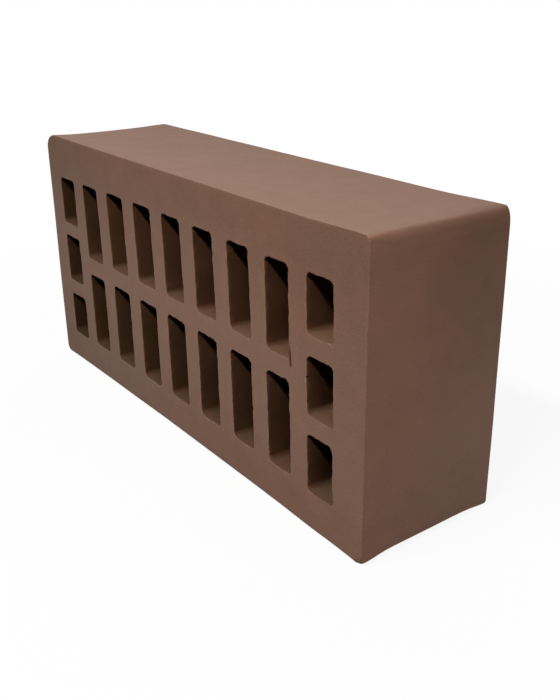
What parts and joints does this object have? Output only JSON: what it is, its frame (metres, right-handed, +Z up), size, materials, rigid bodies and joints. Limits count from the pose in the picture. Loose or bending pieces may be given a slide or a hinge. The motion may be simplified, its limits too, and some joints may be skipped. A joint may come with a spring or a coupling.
{
  "type": "perforated clay brick",
  "caption": "Smooth brown facing brick of fired clay, standing on a long side, with rounded edges and rows of upright slots that run right through it.",
  "frame": {"origin": "middle of the long side that the brick stands on", "axes": "+X along the brick, +Y along the slots from the front bed face to the back one, +Z up"},
  "size_m": [0.25, 0.065, 0.12],
  "materials": {
    "fired_clay": "matt fired clay, chocolate brown through and through, with a fine sandy grain"
  },
  "bodies": {
    "root": {"brick": "fired_clay"}
  },
  "joints": []
}
